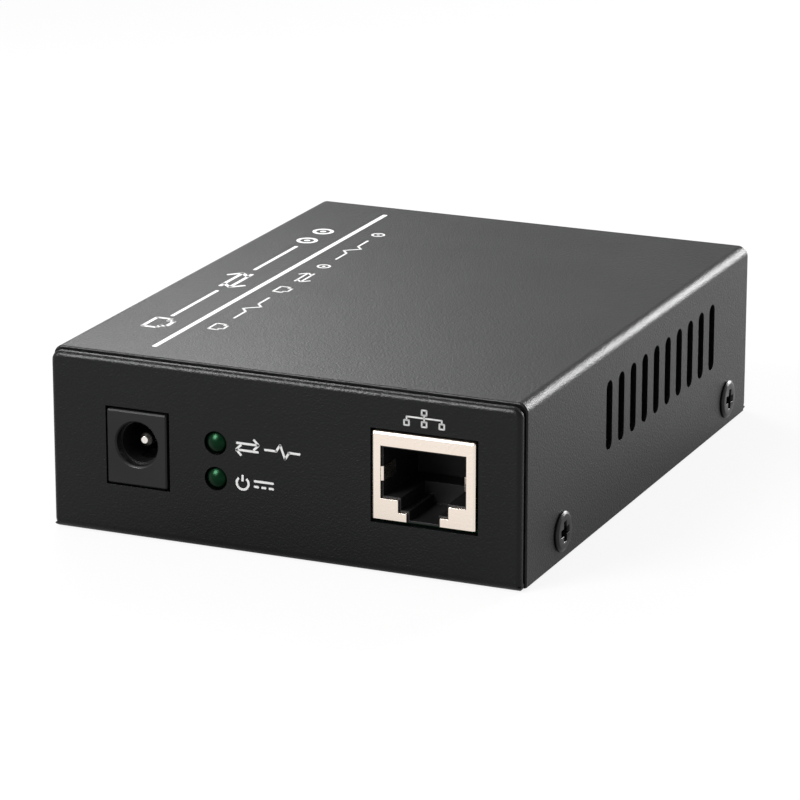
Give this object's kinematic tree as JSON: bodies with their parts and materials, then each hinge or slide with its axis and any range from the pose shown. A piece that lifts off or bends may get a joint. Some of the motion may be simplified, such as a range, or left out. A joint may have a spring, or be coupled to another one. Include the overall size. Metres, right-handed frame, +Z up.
{
  "type": "fibre media converter",
  "caption": "Flat black steel box with a power socket, two indicator lights and a shielded network socket in front, slotted sides and fibre ports behind.",
  "frame": {"origin": "middle of the underside, on the surface the case stands on", "axes": "+X to the right seen from the front, +Y from the front panel to the rear panel, +Z up"},
  "size_m": [0.074, 0.0952, 0.027],
  "materials": {
    "powder_coat": "fine satin powder coat",
    "black_screw": "blackened steel",
    "socket_black": "moulded, satin",
    "lens_green": "glossy tinted lens",
    "shield_tin": "tinned sheet",
    "contact_gold": "plated wire",
    "pin_nickel": "nickel plated",
    "board_green": "solder mask over glass fibre",
    "chip_black": "moulded epoxy",
    "lead_tin": "tinned",
    "standoff_zinc": "zinc plated",
    "can_aluminium": "satin",
    "ferrite_grey": "sintered",
    "port_blue": "moulded",
    "holder_white": "moulded",
    "sleeve_ceramic": "polished ceramic",
    "resistor_black": "glazed",
    "capacitor_tan": "fired ceramic"
  },
  "bodies": {
    "root": {"base_chassis": "powder_coat", "top_cover": "powder_coat", "cover_screws": "black_screw", "board_standoffs": "standoff_zinc", "board_screws": "standoff_zinc", "circuit_board": "board_green", "power_socket_housing": "socket_black", "power_socket_pin": "pin_nickel", "power_socket_spring": "pin_nickel", "power_socket_switch": "pin_nickel", "network_socket_shield": "shield_tin", "network_socket_housing": "socket_black", "network_socket_contacts": "contact_gold", "link_light": "lens_green", "power_light": "lens_green", "light_holder": "socket_black", "light_leads": "lead_tin", "switch_chip": "chip_black", "switch_chip_leads": "lead_tin", "network_transformer": "chip_black", "transformer_leads": "lead_tin", "memory_chip": "chip_black", "memory_chip_leads": "lead_tin", "voltage_regulator": "chip_black", "regulator_leads": "lead_tin", "clock_crystal": "lead_tin", "power_inductor": "ferrite_grey", "capacitor_cans": "can_aluminium", "capacitor_bases": "chip_black", "chip_resistors": "resistor_black", "chip_capacitors": "capacitor_tan", "fibre_module_left": "chip_black", "fibre_port_left": "port_blue", "fibre_holder_left": "holder_white", "fibre_sleeve_left": "sleeve_ceramic", "fibre_pins_left": "lead_tin", "fibre_module_right": "chip_black", "fibre_port_right": "port_blue", "fibre_holder_right": "holder_white", "fibre_sleeve_right": "sleeve_ceramic", "fibre_pins_right": "lead_tin"}
  },
  "joints": []
}
